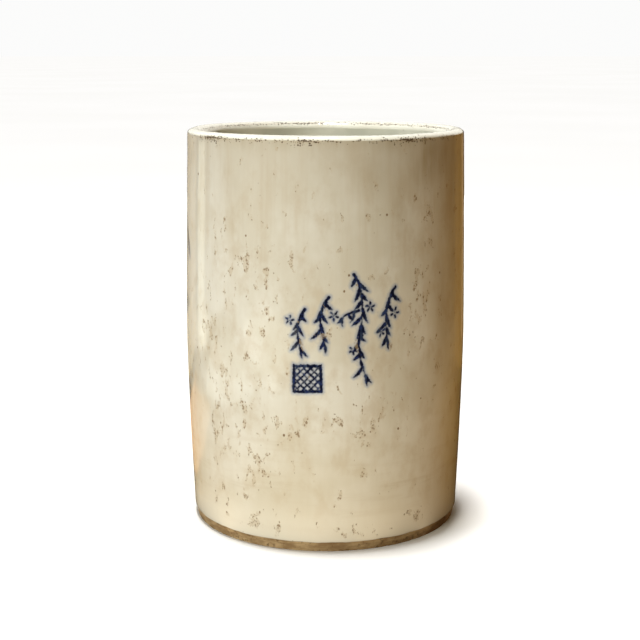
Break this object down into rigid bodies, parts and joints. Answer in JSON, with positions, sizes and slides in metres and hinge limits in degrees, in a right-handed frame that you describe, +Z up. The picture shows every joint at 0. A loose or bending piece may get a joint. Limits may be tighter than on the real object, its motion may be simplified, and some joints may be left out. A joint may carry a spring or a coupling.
{
  "type": "brush holder pot",
  "caption": "Tall cylindrical porcelain brush pot with a rounded lip, a deep open well and a bare turned foot.",
  "frame": {"origin": "centre of the foot's standing face, on the surface that the pot stands on", "axes": "+Z up along the pot's axis of turning; -Y towards the side that carries the painted sprigs and the lattice panel; +X to the right of someone who faces that side"},
  "size_m": [0.1238, 0.1238, 0.173],
  "materials": {
    "biscuit": "unglazed fired porcelain, matt",
    "bare_foot": "unglazed fired porcelain stained brown by age and handling, matt",
    "cream_glaze": "glossy cream glaze with brown pinholes and painting in cobalt blue under it",
    "rim_glaze": "glossy white glaze, thin and pitted brown on the outer edge",
    "well_glaze": "glossy greyish white glaze",
    "base_glaze": "glossy white glaze with pinholes"
  },
  "bodies": {
    "root": {"clay_wall": "biscuit", "clay_floor": "biscuit", "foot_ring": "bare_foot", "outer_glaze": "cream_glaze", "rim_glaze": "rim_glaze", "inner_glaze": "well_glaze", "base_glaze": "base_glaze"}
  },
  "joints": []
}
